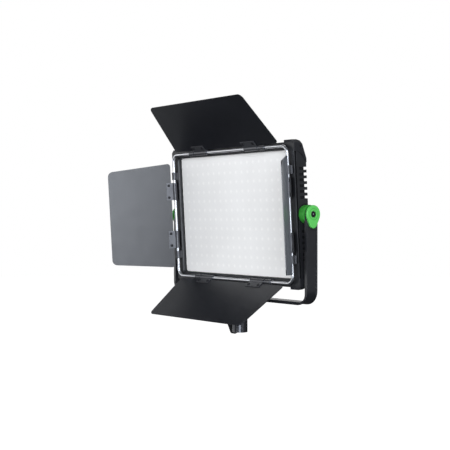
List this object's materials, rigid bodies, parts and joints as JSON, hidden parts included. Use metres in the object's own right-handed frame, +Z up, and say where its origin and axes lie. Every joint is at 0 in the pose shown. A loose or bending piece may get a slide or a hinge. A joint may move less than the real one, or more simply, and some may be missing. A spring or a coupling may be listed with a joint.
{
  "type": "led panel light",
  "caption": "Rectangular LED panel light on a U yoke with a stand socket, tilt knobs and four hinged barn doors on a wire frame.",
  "frame": {"origin": "centre of the stand socket's mouth, at the socket's lower end", "axes": "+Z up along the socket's axis, the light faces -Y, +X to the right of a person who faces the light"},
  "size_m": [0.4275, 0.171, 0.378],
  "materials": {
    "yoke_paint": "satin black powder coat on aluminium bar",
    "socket_black": "black anodised, turned",
    "steel": "zinc plated",
    "black_screw": "black oxide",
    "knob_black": "moulded, slight sheen",
    "green_plastic": "bright green moulded plastic",
    "green_rubber": "green friction washer",
    "housing_plastic": "fine textured black moulding",
    "bumper_rubber": "satin black",
    "diffuser": "milky white acrylic",
    "white_plastic": "white moulding",
    "circuit_board": "white solder mask",
    "led_phosphor": "yellow phosphor",
    "heat_sink_metal": "extruded, plain",
    "brass": "turned",
    "component_plastic": "moulded components",
    "wire_chrome": "bright plated wire",
    "clip_metal": "black folded steel",
    "door_paint": "satin black paint on sheet aluminium",
    "plate_plastic": "black moulding",
    "contact_gold": "gold plated",
    "panel_plastic": "black panel",
    "display_glass": "display cover",
    "dial_plastic": "black fluted dial",
    "key_plastic": "black keys",
    "latch_green": "green latch button"
  },
  "bodies": {
    "yoke": {"yoke_bracket": "yoke_paint", "stand_socket": "socket_black", "socket_bolt": "steel", "socket_washer": "steel"},
    "stand_lock": {"lock_knob": "knob_black", "lock_screw": "steel"},
    "left_knob": {"tilt_knob_left": "green_plastic", "tilt_screw_left": "black_screw"},
    "right_knob": {"tilt_knob_right": "green_plastic", "tilt_screw_right": "black_screw"},
    "head": {"front_bezel": "housing_plastic", "rear_housing": "housing_plastic", "bumper_upper_left": "bumper_rubber", "bumper_upper_right": "bumper_rubber", "bumper_lower_left": "bumper_rubber", "bumper_lower_right": "bumper_rubber", "housing_screws": "steel", "diffuser_sheet": "diffuser", "reflector_frame": "white_plastic", "led_board": "circuit_board", "led_chips": "led_phosphor", "heat_sink": "heat_sink_metal", "board_standoffs": "brass", "driver_board": "circuit_board", "driver_components": "component_plastic", "friction_disc_left": "green_rubber", "friction_disc_right": "green_rubber", "pivot_insert_left": "brass", "pivot_insert_right": "brass", "wire_frame": "wire_chrome", "frame_clips": "clip_metal", "battery_plate_left": "plate_plastic", "battery_plate_right": "plate_plastic", "battery_contacts": "contact_gold", "control_panel": "panel_plastic", "display_window": "display_glass", "display_module": "component_plastic", "dc_inlet": "panel_plastic"},
    "top_flap": {"top_door": "door_paint", "hinge_clips_top": "clip_metal", "rivets_top": "black_screw"},
    "bottom_flap": {"bottom_door": "door_paint", "hinge_clips_bottom": "clip_metal", "rivets_bottom": "black_screw"},
    "left_flap": {"left_door": "door_paint", "hinge_clips_left": "clip_metal", "rivets_left": "black_screw"},
    "right_flap": {"right_door": "door_paint", "hinge_clips_right": "clip_metal", "rivets_right": "black_screw"},
    "brightness_control": {"brightness_dial": "dial_plastic"},
    "colour_control": {"colour_dial": "dial_plastic"},
    "mode_key": {"mode_button": "key_plastic"},
    "menu_key": {"menu_button": "key_plastic"},
    "power_key": {"power_rocker": "key_plastic"},
    "left_latch": {"battery_latch_left": "latch_green"},
    "right_latch": {"battery_latch_right": "latch_green"}
  },
  "joints": [
    {"name": "head_tilt", "type": "hinge", "parent": "yoke", "child": "head", "pos_m": [0, 0, 0.1935], "axis": [-1, 0, 0], "range_deg": [-12, 93.6]},
    {"name": "left_knob_turn", "type": "hinge", "parent": "yoke", "child": "left_knob", "pos_m": [-0.172, 0, 0.1935], "axis": [-1, 0, 0], "range_deg": [0, 270]},
    {"name": "right_knob_turn", "type": "hinge", "parent": "yoke", "child": "right_knob", "pos_m": [0.172, 0, 0.1935], "axis": [1, 0, 0], "range_deg": [0, 270]},
    {"name": "stand_lock_turn", "type": "hinge", "parent": "yoke", "child": "stand_lock", "pos_m": [-0.022, 0, 0.0215], "axis": [-1, 0, 0], "range_deg": [0, 450]},
    {"name": "top_door_swing", "type": "hinge", "parent": "head", "child": "top_flap", "pos_m": [0, -0.02982, 0.29724], "axis": [-1, 0, 0], "range_deg": [-120, 39]},
    {"name": "bottom_door_swing", "type": "hinge", "parent": "head", "child": "bottom_flap", "pos_m": [0, -0.01674, 0.08765], "axis": [1, 0, 0], "range_deg": [-102, 47]},
    {"name": "left_door_swing", "type": "hinge", "parent": "head", "child": "left_flap", "pos_m": [-0.146, -0.02328, 0.19245], "axis": [0, 0.0623, -0.9981], "range_deg": [-117, 60]},
    {"name": "right_door_swing", "type": "hinge", "parent": "head", "child": "right_flap", "pos_m": [0.146, -0.02328, 0.19245], "axis": [0, -0.0623, 0.9981], "range_deg": [-130, 47]},
    {"name": "brightness_turn", "type": "hinge", "parent": "head", "child": "brightness_control", "pos_m": [-0.019, 0.0378, 0.19786], "axis": [0, 0.9981, 0.0623], "continuous": true},
    {"name": "colour_turn", "type": "hinge", "parent": "head", "child": "colour_control", "pos_m": [0.019, 0.0378, 0.19786], "axis": [0, 0.9981, 0.0623], "continuous": true},
    {"name": "power_rock", "type": "hinge", "parent": "head", "child": "power_key", "pos_m": [-0.018, 0.03455, 0.15357], "axis": [1, 0, 0], "range_deg": [0, 18]},
    {"name": "mode_press", "type": "slide", "parent": "head", "child": "mode_key", "axis": [0, -0.9981, -0.0623], "range_m": [0, 0.001], "stiffness_N_per_m": 500, "springref_m": -0.0006},
    {"name": "menu_press", "type": "slide", "parent": "head", "child": "menu_key", "axis": [0, -0.9981, -0.0623], "range_m": [0, 0.001], "stiffness_N_per_m": 500, "springref_m": -0.0006},
    {"name": "left_latch_press", "type": "slide", "parent": "head", "child": "left_latch", "axis": [0, -0.9981, -0.0623], "range_m": [0, 0.002], "stiffness_N_per_m": 800, "springref_m": -0.001},
    {"name": "right_latch_press", "type": "slide", "parent": "head", "child": "right_latch", "axis": [0, -0.9981, -0.0623], "range_m": [0, 0.002], "stiffness_N_per_m": 800, "springref_m": -0.001}
  ]
}
